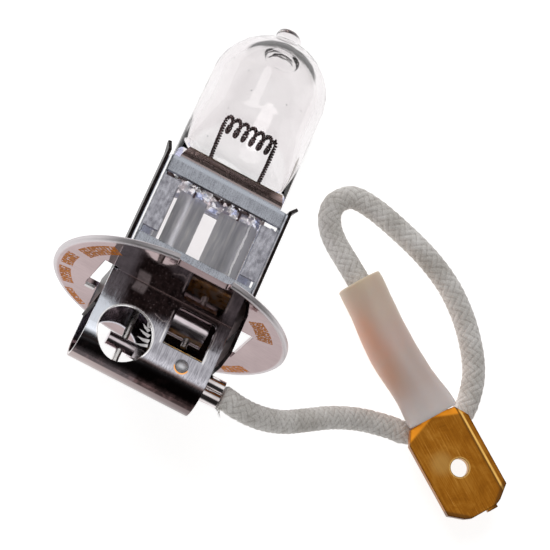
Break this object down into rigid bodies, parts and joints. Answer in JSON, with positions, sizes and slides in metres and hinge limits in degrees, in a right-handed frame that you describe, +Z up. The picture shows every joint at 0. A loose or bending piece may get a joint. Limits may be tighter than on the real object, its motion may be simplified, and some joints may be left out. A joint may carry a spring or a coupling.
{
  "type": "headlight bulb",
  "caption": "Halogen fog and headlight bulb: domed quartz envelope in a steel clamp on a round keyed flange, with a bracket, a braided pigtail lead, a silicone boot and a spade terminal.",
  "frame": {"origin": "centre of the flange's lower face, where the bulb's axis crosses it; the bulb lies on its side on the flange's rim and its dome, 10.8 mm above the ground", "axes": "+Z up from the ground the bulb lies on; +Y towards the glass tip (the bulb's axis dips 13.6 degrees below it); +X towards the side where the lead leaves"},
  "size_m": [0.0469, 0.0368, 0.0212],
  "materials": {
    "quartz": "clear polished quartz",
    "tungsten": "dark drawn tungsten wire",
    "molybdenum": "matt grey foil",
    "pin_wire": "drawn wire",
    "clamp_steel": "brushed stamped steel",
    "strap_steel": "stamped steel",
    "flange_steel": "bright rolled steel",
    "bracket_steel": "bright stamped steel",
    "contact_steel": "heat-tinted steel",
    "phenolic": "brown moulded insulator",
    "ferrule_steel": "bright crimped steel",
    "copper": "bare copper strands",
    "glass_fibre_braid": "woven off-white sleeve",
    "silicone": "milky soft silicone",
    "terminal_brass": "stamped brass"
  },
  "bodies": {
    "root": {"quartz_envelope": "quartz", "filament_coil": "tungsten", "lead_in_left": "tungsten", "lead_in_right": "tungsten", "foil_left": "molybdenum", "foil_right": "molybdenum", "pin_left": "pin_wire", "pin_right": "pin_wire", "clamp_front": "clamp_steel", "clamp_back": "clamp_steel", "side_strap_left": "strap_steel", "side_strap_right": "strap_steel", "strap_foot": "strap_steel", "flange_disc": "flange_steel", "base_bracket": "bracket_steel", "ground_tab": "contact_steel", "live_contact": "contact_steel", "insulator_block": "phenolic", "insulator_rivet": "bracket_steel", "crimp_ferrule": "ferrule_steel", "lead_conductor": "copper", "lead_braid": "glass_fibre_braid", "braid_fray": "glass_fibre_braid", "terminal_boot": "silicone", "spade_terminal": "terminal_brass"}
  },
  "joints": []
}
